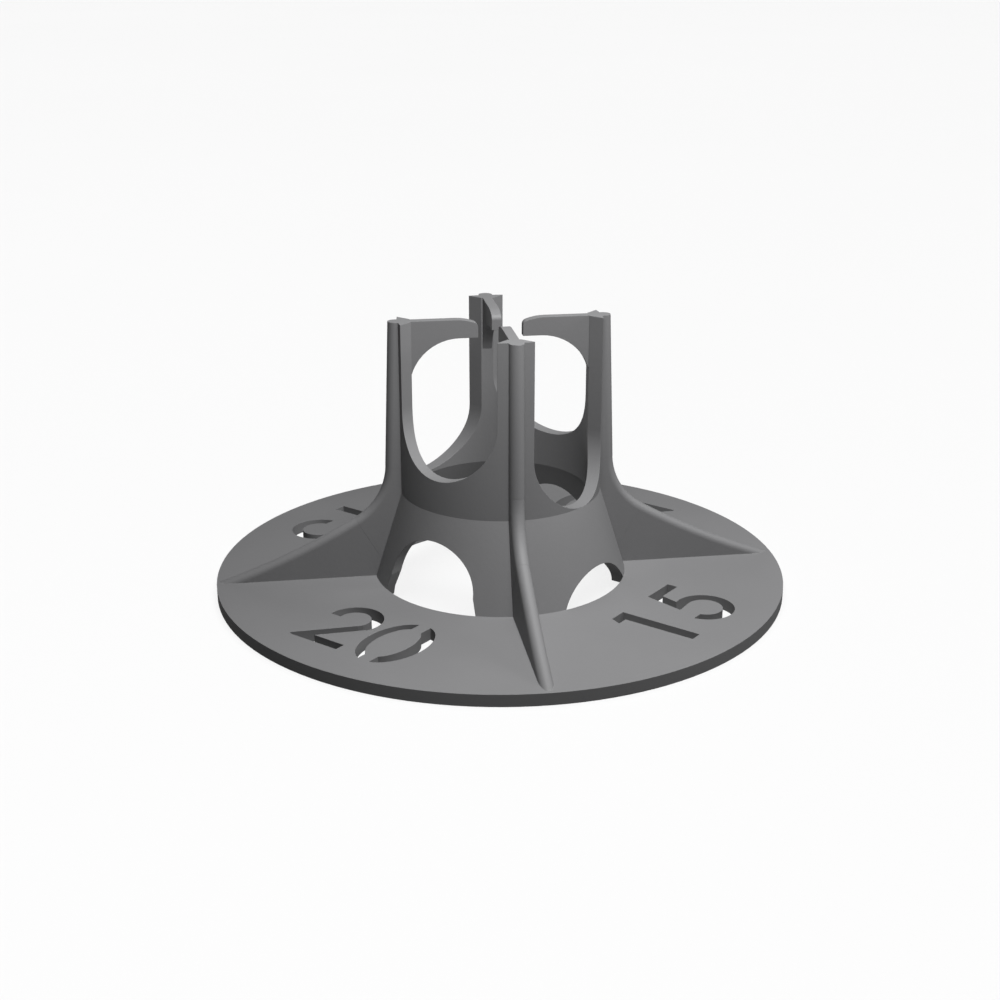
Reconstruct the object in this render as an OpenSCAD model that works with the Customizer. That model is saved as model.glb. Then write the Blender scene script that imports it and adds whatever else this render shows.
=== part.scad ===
// Moulded rebar chair with two cover heights.
// A round plate stands on the form; an open cone and a tube rise from its middle.
// Two pairs of U-shaped seats cross in the tube, the lower pair for a bar along X and
// the higher pair for a bar along Y. They leave four posts, and each post has an outer
// rib that sweeps down to the plate and a thin arm that reaches in over the bars.
// Origin: centre of the plate's underside, +Z up, millimetres.

/* [Plate] */
// Radius of the round plate
plate_radius = 43.5; // [42.5:0.5:50]
// Thickness of the plate
plate_thickness = 1.8; // [1.6:0.1:2.2]

/* [Cone and tube] */
// Outer radius of the cone where it meets the top of the plate
cone_foot_radius = 19.35; // [18.8:0.05:20]
// Height where the cone turns into the tube
waist_height = 15; // [13.5:0.5:16]
// Outer radius of the tube
tube_radius = 15.2; // [14.8:0.1:15.6]
// Wall thickness of the tube
tube_wall = 1.9; // [1.6:0.1:2.1]
// Horizontal thickness of the cone's wall
cone_wall = 2.05; // [1.8:0.05:2.3]
// Radius of the round hole in the plate, under the cone
hole_radius = 17.4; // [17:0.1:17.7]
// Height of the posts above the form
post_top = 41.3; // [40:0.1:46]

/* [Bar seats] */
// Height of the lower seat, the first concrete cover
cover_low = 15; // [13:0.5:16]
// Height of the higher seat, the second concrete cover
cover_high = 20; // [18:0.5:22]
// Radius of the seats, half the width of the windows between the posts
seat_radius = 8.7; // [8:0.1:9]

/* [Arches in the cone] */
// Height of the arches below the lower seats
arch_low = 6.2; // [5.6:0.1:7]
// Radius at the top of the lower arches
arch_low_radius = 9; // [8.4:0.1:9.5]
// Height of the arches below the higher seats
arch_high = 11.1; // [10:0.1:11.6]
// Radius at the top of the higher arches
arch_high_radius = 7.7; // [7:0.1:8.2]
// Half the width of every arch at the form
arch_foot = 9.05; // [8.8:0.05:9.4]

/* [Ribs] */
// Width of a rib, which is also the diameter of its round crest
rib_width = 2.1; // [1.8:0.1:2.4]
// Distance from the axis to a rib's crest at the top of the post
rib_top_radius = 16.6; // [16.3:0.1:17]
// How much slimmer each side of a rib is on each next stretch down
rib_taper = 0.02; // [0.01:0.01:0.04]
// Draft of the upright crest, degrees
rib_draft = 2.2; // [1.5:0.1:3]
// Radius of the bend from the upright crest into the sweep
rib_bend = 9.6; // [7:0.2:11]
// Radius of the long hollow sweep
sweep_radius = 109; // [95:1:130]
// Slope of the sweep where it runs out on the plate, degrees
sweep_slope = 18; // [16:0.2:20]
// Gap between the end of the sweep and the rim
rib_rim_gap = 0.3; // [0.2:0.1:1.5]

/* [Arms] */
// Thickness of an arm
arm_thickness = 1.45; // [1.2:0.05:1.8]
// Distance from the axis to the tip of an arm
arm_tip_radius = 3.35; // [3:0.05:4]
// Height of an arm at its tip, measured below the top of the post
arm_height = 2.75; // [2.3:0.05:3.2]
// Radius of the hollow bracket under an arm
bracket_radius = 7.5; // [7.3:0.1:8]
// Distance that the bracket spans from the tube's wall
bracket_span = 7.2; // [6.8:0.1:7.2]
// Radius of the gently falling top near the tip
nose_radius = 8; // [7:0.5:10]
// Distance from the tip where that fall begins
nose_run = 3.25; // [2.8:0.05:3.6]
// Radius of the upper corner of the tip
tip_round = 0.8; // [0.5:0.1:1]

/* [Numbers] */
// Distance from the axis to the line under the figures
figure_base = 37.5; // [36.5:0.1:38]
// Height of the flat figures
figure_height = 12.7; // [11.6:0.1:13]
// Width of the upright strokes
upright_stroke = 1.95; // [1.6:0.05:2.2]
// Width of the level strokes
level_stroke = 1.65; // [1.4:0.05:1.9]
// Width of the bridges that hold the island of the nought
stencil_bridge = 1.95; // [1.6:0.05:2.4]

/* [Smoothness] */
// Facets of the large circles
round_facets = 144; // [96:24:192]
// Facets of the seats, arches, brackets and figures
small_facets = 72; // [48:12:96]
// Facets of the sweep's full circle, of which only a short arc is used
sweep_facets = 480; // [360:60:720]
// Facets of the round crest
crest_facets = 28; // [24:4:40]

/* [Hidden] */

plastic_grey = [0.42, 0.42, 0.43];
post_angles = [45, 135, 225, 315];

// How far a cutter runs past what it cuts
past = 1;
// How far the root of an arm is sunk into the tube's wall
arm_root = 0.9;
// How far inside the round of an arch its straight sides start
side_bite = 0.2;
// How deep the rib's section reaches from its crest, on the post and on the curves
post_depth = 2.6;
rib_depth = 12;
// How far each stretch of a rib starts inside the one above it
lap = 0.3;
// Angle that the sweep runs on below the plate's top
run_out = 0.3;

tube_bore = tube_radius - tube_wall;
cone_lean = (cone_foot_radius - tube_radius) / (waist_height - plate_thickness);
cone_span = cone_foot_radius + cone_lean * plate_thickness;
hole_lip = (cone_span - cone_wall - hole_radius) / cone_lean;
bore_waist = (cone_span - cone_wall - tube_bore) / cone_lean;
rib_floor = plate_thickness / 2;

arm_under = post_top - arm_height;
bracket_mid = [tube_bore - bracket_span, arm_under - bracket_radius];
nose_mid = [arm_tip_radius + nose_run, post_top - nose_radius];
tip_x = arm_tip_radius + tip_round;
tip_rise = sqrt(pow(nose_radius - tip_round, 2) - pow(nose_mid[0] - tip_x, 2));
tip_mid = [tip_x, nose_mid[1] + tip_rise];

// Centre of the long sweep, from the point where it meets the plate.
sweep_mid = [plate_radius - rib_rim_gap, plate_thickness]
    + sweep_radius * [sin(sweep_slope), cos(sweep_slope)];

// The bend's centre lies one bend radius outside the drafted crest and one bend
// radius nearer to the sweep's centre than the sweep itself.
crest_down = [sin(rib_draft), -cos(rib_draft)];
crest_out = [cos(rib_draft), sin(rib_draft)];
bend_line = [rib_top_radius, post_top] + rib_bend * crest_out;
to_line = bend_line - sweep_mid;
inner_reach = sweep_radius - rib_bend;
along = -(crest_down * to_line)
    + sqrt(pow(crest_down * to_line, 2) - to_line * to_line + inner_reach * inner_reach);
bend_mid = bend_line + along * crest_down;
bend_start = bend_mid - rib_bend * crest_out;
join_slope = atan2(sweep_mid[0] - bend_mid[0], sweep_mid[1] - bend_mid[1]);

chair();

module chair() {
    color(plastic_grey) union() {
        difference() {
            union() {
                outer_form();
                for (a = post_angles) rotate(a) rib();
            }
            inner_hollow();
            seat_cutter(cover_low);
            rotate(90) seat_cutter(cover_high);
            for (side = [0, 180]) rotate(side) {
                arch_cutter(arch_low, arch_low_radius);
                rotate(90) arch_cutter(arch_high, arch_high_radius);
                number_cutter() fifteen();
                rotate(90) number_cutter() twenty();
            }
        }
        for (a = post_angles) rotate(a) clip_arm();
    }
}

// Plate, cone and tube as one turned solid.
module outer_form() {
    rotate_extrude($fn = round_facets)
        polygon([
            [0, 0],
            [plate_radius, 0],
            [plate_radius, plate_thickness],
            [cone_foot_radius, plate_thickness],
            [tube_radius, waist_height],
            [tube_radius, post_top],
            [0, post_top]
        ]);
}

// The round hole in the plate, the inside of the cone and the tube's bore.
module inner_hollow() {
    rotate_extrude($fn = round_facets)
        polygon([
            [0, -past],
            [hole_radius, -past],
            [hole_radius, hole_lip],
            [tube_bore, bore_waist],
            [tube_bore, post_top + past],
            [0, post_top + past]
        ]);
}

// A window open at the top, round at the bottom, cut along X through both walls.
module seat_cutter(height) {
    mid = height + seat_radius;
    along_x(2 * tube_radius + 4 * past) {
        translate([0, mid]) circle(seat_radius, $fn = small_facets);
        translate([-seat_radius, mid]) square([2 * seat_radius, post_top - mid + past]);
    }
}

// An arch through the cone's foot on the +X side: round at the top, with straight
// sides that run from just inside the round's tangent down to the foot.
module arch_cutter(top, radius) {
    mid = top - radius;
    turn = acos(radius / norm([arch_foot, mid])) - atan2(mid, arch_foot);
    shoulder = [(radius - side_bite) * cos(turn), mid + (radius - side_bite) * sin(turn)];
    foot = arch_foot + past * (arch_foot - shoulder[0]) / shoulder[1];
    intersection() {
        translate([cone_foot_radius, 0, 0]) along_x(cone_foot_radius) {
            translate([0, mid]) circle(radius, $fn = small_facets);
            polygon([
                [-foot, -past],
                [foot, -past],
                shoulder,
                [-shoulder[0], shoulder[1]]
            ]);
        }
        translate([0, 0, -2 * past])
            cylinder(r = cone_foot_radius, h = waist_height, $fn = round_facets);
    }
}

// Stands a profile drawn in width and height upright, and runs it along X.
module along_x(length) {
    rotate([90, 0, 90]) translate([0, 0, -length / 2])
        linear_extrude(height = length) children();
}

// Rib on the +X side: a section with a round crest, run down the drafted post, round
// the bend and along the hollow sweep to the plate. Each stretch is a hair slimmer than
// the one above it and starts inside it.
module rib() {
    intersection() {
        union() {
            translate([bend_start[0], 0, bend_start[1]]) rotate([0, -rib_draft, 0])
                linear_extrude(height = post_top - bend_start[1] + past)
                    mirror([1, 0]) rib_section(0, post_depth, 0);
            crest_arc(bend_mid, rib_bend, 180 + rib_draft, 270 - join_slope, small_facets,
                rib_taper);
            crest_arc(sweep_mid, sweep_radius, 270 - join_slope, 270 - sweep_slope + run_out,
                sweep_facets, 2 * rib_taper);
        }
        translate([0, -rib_width, rib_floor])
            cube([plate_radius - rib_rim_gap / 2, 2 * rib_width, post_top - rib_floor]);
    }
}

// Turns the rib's section about a level axis through mid, from one angle to another.
module crest_arc(mid, radius, from, to, facets, slim) {
    lap_angle = lap / radius * 180 / PI;
    translate([mid[0], 0, mid[1]]) rotate([90, 0, 0]) rotate(from - lap_angle)
        rotate_extrude(angle = to - from + lap_angle, $fn = facets)
            rib_section(radius, rib_depth, slim);
}

// Section of the rib, crest at the start and depth measured away from it.
module rib_section(start, depth, slim) {
    half = rib_width / 2 - slim;
    middle = start + rib_width / 2;
    translate([middle, 0]) circle(half, $fn = crest_facets);
    translate([middle, -half]) square([depth - rib_width / 2, 2 * half]);
}

// Arm on the +X side, standing in the post's wall and reaching in over the bars.
module clip_arm() {
    translate([0, arm_thickness / 2, 0]) rotate([90, 0, 0])
        linear_extrude(height = arm_thickness) arm_profile();
}

module arm_profile() {
    tip_way = (tip_mid - nose_mid) / norm(tip_mid - nose_mid);
    difference() {
        translate([arm_tip_radius, bracket_mid[1]])
            square([tube_bore + arm_root - arm_tip_radius, post_top - bracket_mid[1]]);
        translate(bracket_mid) circle(bracket_radius, $fn = small_facets);
        translate([arm_tip_radius - past, bracket_mid[1] - past])
            square([bracket_mid[0] - arm_tip_radius + past, bracket_radius + past]);
        difference() {
            translate([arm_tip_radius - past, tip_mid[1]])
                square([nose_mid[0] - arm_tip_radius + past, post_top - tip_mid[1] + past]);
            translate(nose_mid) circle(nose_radius, $fn = 3 * small_facets);
        }
        difference() {
            polygon([
                tip_mid,
                tip_mid + [-2 * tip_round, 0],
                tip_mid + [-2 * tip_round, 2 * tip_round],
                tip_mid + 2 * tip_round * tip_way
            ]);
            translate(tip_mid) circle(tip_round, $fn = small_facets);
        }
    }
}

// Lays a number drawn upright on the +X side of the plate, its top towards the axis,
// and cuts it through.
module number_cutter() {
    translate([figure_base, 0, -past]) rotate(90)
        linear_extrude(height = plate_thickness + 2 * past) children();
}

// Figures are drawn from the base line up, on both sides of the middle of the number.
module fifteen() {
    figure_one();
    figure_five();
}

module twenty() {
    figure_two();
    figure_nought();
}

// An upright with a short flag at its top, cut off at a slant.
module figure_one() {
    right = -3.5;
    left = right - upright_stroke;
    flag_tip = left - 1.7;
    flag_slant = 0.7;
    under_flag = figure_height - level_stroke;
    polygon([
        [flag_tip, under_flag],
        [left, under_flag],
        [left, 0],
        [right, 0],
        [right, figure_height],
        [flag_tip + flag_slant, figure_height]
    ]);
}

// A level bar, a slanting back and a bowl that is open at its upper left.
module figure_five() {
    bowl_mid = [5.12, 4.05];
    bowl_radius = 4.38;
    bowl_stroke = 1.75;
    bowl_end = -0.7;
    bowl_top = bowl_mid[1] + bowl_radius;
    bar_left = 3.4;
    bar_right = 9.2;
    under_bar = figure_height - level_stroke;
    back_foot = [2.1, 6.4];
    back_inner_top = 4.9;
    back_inner_foot = [4.25, 8.33];
    polygon([
        [bar_left, figure_height],
        [bar_right, figure_height],
        [bar_right, under_bar],
        [back_inner_top, under_bar],
        back_inner_foot,
        [bowl_mid[0], bowl_top],
        [bowl_mid[0], bowl_top - bowl_stroke],
        back_foot
    ]);
    translate(bowl_mid) difference() {
        bowl(bowl_radius, bowl_stroke);
        translate([-bowl_radius - past, bowl_end])
            square([bowl_radius + past, bowl_radius - bowl_end + past]);
    }
}

// A bowl that is open at its lower left, and a stroke that slants down to a level foot.
module figure_two() {
    bowl_mid = [-4.83, 8.95];
    bowl_radius = 4.22;
    bowl_stroke = 1.82;
    bowl_end = -0.45;
    neck = [[2.9, -1.3], [3.9, -1.9]];
    beyond = bowl_radius + past;
    left = -9.3;
    right = -0.42;
    stroke_foot = [left, 0.4];
    stroke_inner_foot = [-5.95, level_stroke];
    stroke_top = [[-1.05, 7.25], [-0.85, 7.8], [-2.6, 8.1], [-3, 7.5]];
    translate(bowl_mid) difference() {
        bowl(bowl_radius, bowl_stroke);
        polygon([
            [-beyond, bowl_end],
            [0, bowl_end],
            [0, 0],
            neck[0],
            neck[1],
            [beyond, neck[1][1]],
            [beyond, -beyond],
            [-beyond, -beyond]
        ]);
    }
    polygon(concat(
        [stroke_foot, [left, 0], [right, 0], [right, level_stroke], stroke_inner_foot],
        stroke_top
    ));
}

// Ring that the bowl of a figure is cut from.
module bowl(radius, stroke) {
    difference() {
        circle(radius, $fn = small_facets);
        circle(radius - stroke, $fn = small_facets);
    }
}

// An oval with thick sides, its island held by two bridges.
module figure_nought() {
    outer_mid = [4.95, 6.4];
    outer_reach = [4.52, 6.8];
    island_mid = [4.62, 6.3];
    island_reach = [2.74, 5.1];
    bridge_mid = 4.8;
    difference() {
        translate(outer_mid) scale(outer_reach) circle(1, $fn = small_facets);
        translate(island_mid) scale(island_reach) circle(1, $fn = small_facets);
        translate([bridge_mid - stencil_bridge / 2, -past])
            square([stencil_bridge, figure_height + 3 * past]);
    }
}
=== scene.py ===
import math

import bpy
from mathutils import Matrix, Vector


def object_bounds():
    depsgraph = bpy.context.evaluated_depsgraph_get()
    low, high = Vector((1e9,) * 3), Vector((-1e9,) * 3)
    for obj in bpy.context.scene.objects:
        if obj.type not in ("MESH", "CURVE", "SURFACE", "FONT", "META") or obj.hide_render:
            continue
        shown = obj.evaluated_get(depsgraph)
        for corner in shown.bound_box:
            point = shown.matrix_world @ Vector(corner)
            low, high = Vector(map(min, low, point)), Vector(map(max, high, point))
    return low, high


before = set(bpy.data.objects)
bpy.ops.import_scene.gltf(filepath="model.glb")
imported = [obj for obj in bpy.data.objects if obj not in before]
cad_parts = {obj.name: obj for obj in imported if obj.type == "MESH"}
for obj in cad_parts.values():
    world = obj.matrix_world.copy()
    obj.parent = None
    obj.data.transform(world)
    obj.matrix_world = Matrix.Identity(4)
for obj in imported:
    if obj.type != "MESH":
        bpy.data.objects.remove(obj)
cadLow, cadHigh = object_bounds()
plateRadius = (cadHigh.x - cadLow.x) / 2
foot = Vector((0, 0, cadLow.z))
middle = Vector((0, 0, (cadLow.z + cadHigh.z) / 2))
millimetre = 0.001
print("chair loaded, plate radius", round(plateRadius, 4))


def addNode(tree, kind, place, **values):
    node = tree.nodes.new(kind)
    node.location = place
    for name, value in values.items():
        setattr(node, name, value)
    return node


# Input names are written with _ for a space.
def setInputs(node, **values):
    for name, value in values.items():
        node.inputs[name.replace("_", " ")].default_value = value


# A Mix node has sockets for every type of value. These are the ones in use.
def addMix(tree, kind, place):
    node = addNode(tree, "ShaderNodeMix", place, data_type=kind)
    share, first, second = [socket for socket in node.inputs if socket.enabled]
    result = [socket for socket in node.outputs if socket.enabled][0]
    return share, first, second, result


def newMaterial(name):
    material = bpy.data.materials.new(name)
    material.use_nodes = True
    material.node_tree.nodes.clear()
    return material, material.node_tree


# Soft clouds over a surface: a tone that multiplies the colour, a roughness and a fine bump.
cloudDetail = {"Detail": 4.0, "Roughness": 0.55}
grainDetail = {"Detail": 2.0, "Roughness": 0.5}
cloudMiddle = 0.5


def makeSurfaceClouds():
    group = bpy.data.node_groups.new("surfaceClouds", "ShaderNodeTree")
    for name, kind, value in (
        ("Color", "NodeSocketColor", (0.5, 0.5, 0.5, 1.0)),
        ("Size", "NodeSocketFloat", 100.0),
        ("Tone Change", "NodeSocketFloat", 0.05),
        ("Roughness", "NodeSocketFloat", 0.5),
        ("Roughness Change", "NodeSocketFloat", 0.1),
        ("Grain Size", "NodeSocketFloat", 2000.0),
        ("Grain Depth", "NodeSocketFloat", 0.01 * millimetre),
        ("Normal", "NodeSocketVector", (0.0, 0.0, 0.0)),
    ):
        socket = group.interface.new_socket(name=name, in_out="INPUT", socket_type=kind)
        socket.default_value = value
    for name, kind in (
        ("Color", "NodeSocketColor"),
        ("Roughness", "NodeSocketFloat"),
        ("Normal", "NodeSocketVector"),
    ):
        group.interface.new_socket(name=name, in_out="OUTPUT", socket_type=kind)
    put = group.links.new
    start = addNode(group, "NodeGroupInput", (-1000, 0))
    end = addNode(group, "NodeGroupOutput", (700, 0))
    place = addNode(group, "ShaderNodeTexCoord", (-1000, -300))

    clouds = addNode(group, "ShaderNodeTexNoise", (-750, 150))
    setInputs(clouds, **cloudDetail)
    put(place.outputs["Object"], clouds.inputs["Vector"])
    put(start.outputs["Size"], clouds.inputs["Scale"])

    centred = addNode(group, "ShaderNodeMath", (-550, 150), operation="SUBTRACT")
    centred.inputs[1].default_value = cloudMiddle
    put(clouds.outputs["Fac"], centred.inputs[0])

    tone = addNode(group, "ShaderNodeMath", (-350, 250), operation="MULTIPLY_ADD")
    tone.inputs[2].default_value = 1.0
    put(centred.outputs[0], tone.inputs[0])
    put(start.outputs["Tone Change"], tone.inputs[1])

    tinted = addNode(group, "ShaderNodeVectorMath", (-150, 250), operation="SCALE")
    put(start.outputs["Color"], tinted.inputs[0])
    put(tone.outputs[0], tinted.inputs["Scale"])

    rough = addNode(group, "ShaderNodeMath", (-150, 50), operation="MULTIPLY_ADD")
    put(centred.outputs[0], rough.inputs[0])
    put(start.outputs["Roughness Change"], rough.inputs[1])
    put(start.outputs["Roughness"], rough.inputs[2])

    grain = addNode(group, "ShaderNodeTexNoise", (-550, -250))
    setInputs(grain, **grainDetail)
    put(place.outputs["Object"], grain.inputs["Vector"])
    put(start.outputs["Grain Size"], grain.inputs["Scale"])

    bump = addNode(group, "ShaderNodeBump", (100, -200))
    setInputs(bump, Strength=1.0)
    put(grain.outputs["Fac"], bump.inputs["Height"])
    put(start.outputs["Grain Depth"], bump.inputs["Distance"])
    put(start.outputs["Normal"], bump.inputs["Normal"])

    put(tinted.outputs[0], end.inputs["Color"])
    put(rough.outputs[0], end.inputs["Roughness"])
    put(bump.outputs[0], end.inputs["Normal"])
    return group


surfaceClouds = makeSurfaceClouds()
print("clouds ready")

plastic = {
    "tone": (0.165, 0.165, 0.168, 1.0),
    "edgeTone": (0.215, 0.215, 0.219, 1.0),
    "cloudSize": 60.0,
    "toneChange": 0.10,
    "roughness": 0.62,
    "roughnessChange": 0.12,
    "grainSize": 1800.0,
    "grainDepth": 0.012 * millimetre,
    "edgeRound": 0.1 * millimetre,
    "edgeSamples": 6,
    "sharpStart": 0.98,  # how well the rounded normal agrees with the flat one there
    "sharpFull": 0.94,
    "wearShare": 0.6,
    "wearReach": 0.6 * millimetre,
    "wearSamples": 4,
    "openStart": 0.75,  # how much open air a worn edge has round it
    "openFull": 0.95,
    "specular": 0.5,
}


def makePlastic():
    material, tree = newMaterial("mouldedGreyPlastic")
    put = tree.links.new

    # A sharp edge is where the rounded normal leaves the flat one. Only there is it rounded.
    shape = addNode(tree, "ShaderNodeNewGeometry", (-900, 100))
    edge = addNode(tree, "ShaderNodeBevel", (-900, -200), samples=plastic["edgeSamples"])
    setInputs(edge, Radius=plastic["edgeRound"])
    agree = addNode(tree, "ShaderNodeVectorMath", (-700, 100), operation="DOT_PRODUCT")
    sharp = addNode(tree, "ShaderNodeMapRange", (-500, 100))
    setInputs(sharp, From_Min=plastic["sharpStart"], From_Max=plastic["sharpFull"])
    share, flat, soft, normal = addMix(tree, "VECTOR", (-300, -100))
    put(edge.outputs[0], agree.inputs[0])
    put(shape.outputs["Normal"], agree.inputs[1])
    put(agree.outputs["Value"], sharp.inputs["Value"])
    put(sharp.outputs["Result"], share)
    put(shape.outputs["Normal"], flat)
    put(edge.outputs[0], soft)

    # Edges with open air round them are rubbed a little paler.
    air = addNode(
        tree,
        "ShaderNodeAmbientOcclusion",
        (-900, 400),
        samples=plastic["wearSamples"],
        only_local=True,
    )
    setInputs(air, Distance=plastic["wearReach"])
    outer = addNode(tree, "ShaderNodeMapRange", (-700, 400))
    setInputs(
        outer,
        From_Min=plastic["openStart"],
        From_Max=plastic["openFull"],
        To_Max=plastic["wearShare"],
    )
    wear = addNode(tree, "ShaderNodeMath", (-500, 300), operation="MULTIPLY")
    worn, fresh, rubbed, tone = addMix(tree, "RGBA", (-300, 300))
    fresh.default_value = plastic["tone"]
    rubbed.default_value = plastic["edgeTone"]
    put(air.outputs["AO"], outer.inputs["Value"])
    put(outer.outputs["Result"], wear.inputs[0])
    put(sharp.outputs["Result"], wear.inputs[1])
    put(wear.outputs[0], worn)

    clouds = addNode(tree, "ShaderNodeGroup", (-50, 0), node_tree=surfaceClouds)
    setInputs(
        clouds,
        Size=plastic["cloudSize"],
        Tone_Change=plastic["toneChange"],
        Roughness=plastic["roughness"],
        Roughness_Change=plastic["roughnessChange"],
        Grain_Size=plastic["grainSize"],
        Grain_Depth=plastic["grainDepth"],
    )
    skin = addNode(tree, "ShaderNodeBsdfPrincipled", (200, 0))
    setInputs(skin, Specular_IOR_Level=plastic["specular"])
    end = addNode(tree, "ShaderNodeOutputMaterial", (500, 0))
    put(tone, clouds.inputs["Color"])
    put(normal, clouds.inputs["Normal"])
    put(clouds.outputs["Color"], skin.inputs["Base Color"])
    put(clouds.outputs["Roughness"], skin.inputs["Roughness"])
    put(clouds.outputs["Normal"], skin.inputs["Normal"])
    put(skin.outputs[0], end.inputs["Surface"])
    return material


mouldedPlastic = makePlastic()
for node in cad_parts.values():
    node.data.materials.clear()
    node.data.materials.append(mouldedPlastic)
print("plastic on", len(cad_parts), "node")

floorLook = {
    "tone": (0.745, 0.745, 0.745, 1.0),
    "bounceTone": (0.158, 0.158, 0.158, 1.0),
    "cloudSize": 3.0,
    "toneChange": 0.02,
    "roughness": 0.8,
    "specular": 0.1,
    "reach": 110.0,  # in plate radii
}


def makeFloor():
    reach = floorLook["reach"] * plateRadius
    mesh = bpy.data.meshes.new("floor")
    corners = [(x * reach, y * reach, foot.z) for x, y in ((-1, -1), (1, -1), (1, 1), (-1, 1))]
    mesh.from_pydata(corners, [], [(0, 1, 2, 3)])
    floor = bpy.data.objects.new("floor", mesh)
    bpy.context.scene.collection.objects.link(floor)

    material, tree = newMaterial("paleFloor")
    put = tree.links.new
    clouds = addNode(tree, "ShaderNodeGroup", (-250, 0), node_tree=surfaceClouds)
    setInputs(
        clouds,
        Color=floorLook["tone"],
        Size=floorLook["cloudSize"],
        Tone_Change=floorLook["toneChange"],
    )
    # Seen pale, but it throws less light up at the chair, as over a grey studio mat.
    rays = addNode(tree, "ShaderNodeLightPath", (-250, 350))
    seen, bounced, pale, tone = addMix(tree, "RGBA", (-50, 200))
    bounced.default_value = floorLook["bounceTone"]
    skin = addNode(tree, "ShaderNodeBsdfPrincipled", (150, 0))
    setInputs(skin, Roughness=floorLook["roughness"], Specular_IOR_Level=floorLook["specular"])
    end = addNode(tree, "ShaderNodeOutputMaterial", (450, 0))
    put(rays.outputs["Is Camera Ray"], seen)
    put(clouds.outputs["Color"], pale)
    put(tone, skin.inputs["Base Color"])
    put(skin.outputs[0], end.inputs["Surface"])
    mesh.materials.append(material)
    return floor


floor = makeFloor()
print("floor made")

# Where the camera stands, and how near and far it sees, in plate radii from the middle of
# the underside.
cameraView = {
    "azimuth": 36.45,
    "elevation": 22.99,
    "distance": 5.568,
    "pitch": 20.17,
    "angle": 35.8,
    "near": 0.1,
    "far": 300.0,
}


def direction(azimuth, elevation):
    a, e = math.radians(azimuth), math.radians(elevation)
    return Vector((math.sin(a) * math.cos(e), -math.cos(a) * math.cos(e), math.sin(e)))


def makeCamera():
    lens = bpy.data.cameras.new("camera")
    lens.angle = math.radians(cameraView["angle"])
    lens.clip_start = cameraView["near"] * plateRadius
    lens.clip_end = cameraView["far"] * plateRadius
    camera = bpy.data.objects.new("camera", lens)
    bpy.context.scene.collection.objects.link(camera)
    way = direction(cameraView["azimuth"], cameraView["elevation"])
    camera.location = foot + cameraView["distance"] * plateRadius * way
    tilt = math.radians(90 - cameraView["pitch"])
    camera.rotation_euler = (tilt, 0, math.radians(cameraView["azimuth"]))
    bpy.context.scene.camera = camera


makeCamera()
print("camera placed")

# Round soft boxes, counted from the middle of the chair: where each stands, its distance in
# plate radii, its width as a share of that, its power in watts, whether the chair shades
# itself from it, and whether it shows in the plastic's gloss.
softBoxes = {
    "keyBox": {
        "azimuth": 81,
        "elevation": 70,
        "distance": 3.5,
        "width": 0.85,
        "power": 0.362,
        "shades": False,
        "gloss": True,
    },
    "frontBox": {
        "azimuth": 41,
        "elevation": 43,
        "distance": 2.2,
        "width": 0.36,
        "power": 0.0285,
        "shades": True,
        "gloss": True,
    },
    "sideBox": {
        "azimuth": 126,
        "elevation": 27,
        "distance": 3.5,
        "width": 0.36,
        "power": 0.053,
        "shades": True,
        "gloss": True,
    },
    "backBox": {
        "azimuth": 238,
        "elevation": 5,
        "distance": 16,
        "width": 0.36,
        "power": 2.6,
        "shades": True,
        "gloss": False,
    },
}

# Even light from above for the floor alone, most of it with no shadow.
floorLights = {
    "openLight": {"strength": 3.4, "spread": 10.0, "shades": False},
    "shadeLight": {"strength": 0.75, "spread": 70.0, "shades": True},
}
roomTone = 0.94


def addLamp(name, kind, shades, receivers):
    light = bpy.data.lights.new(name, kind)
    light.use_shadow = shades
    light.cycles.cast_shadow = shades
    lamp = bpy.data.objects.new(name, light)
    lamp.visible_camera = False
    bpy.context.scene.collection.objects.link(lamp)
    reached = bpy.data.collections.new(name + "Reaches")
    for receiver in receivers:
        reached.objects.link(receiver)
    lamp.light_linking.receiver_collection = reached
    return lamp, light


def makeSoftBoxes():
    for name, look in softBoxes.items():
        lamp, light = addLamp(name, "AREA", look["shades"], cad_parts.values())
        distance = look["distance"] * plateRadius
        light.shape = "DISK"
        light.size = look["width"] * distance
        light.energy = look["power"]
        lamp.visible_glossy = look["gloss"]
        way = direction(look["azimuth"], look["elevation"])
        lamp.location = middle + distance * way
        lamp.rotation_euler = way.to_track_quat("Z", "Y").to_euler()


def makeFloorLights():
    for name, look in floorLights.items():
        lamp, light = addLamp(name, "SUN", look["shades"], [floor])
        light.angle = math.radians(look["spread"])
        light.energy = look["strength"]


# A pale room that is seen but gives no light of its own.
def makeRoom():
    world = bpy.data.worlds.new("room")
    world.use_nodes = True
    tree = world.node_tree
    rays = addNode(tree, "ShaderNodeLightPath", (-400, 200))
    back = tree.nodes["Background"]
    setInputs(back, Color=(roomTone, roomTone, roomTone, 1.0))
    tree.links.new(rays.outputs["Is Camera Ray"], back.inputs["Strength"])
    bpy.context.scene.world = world


makeSoftBoxes()
makeFloorLights()
makeRoom()
bpy.context.scene.view_settings.view_transform = "Standard"
print("lamps lit")
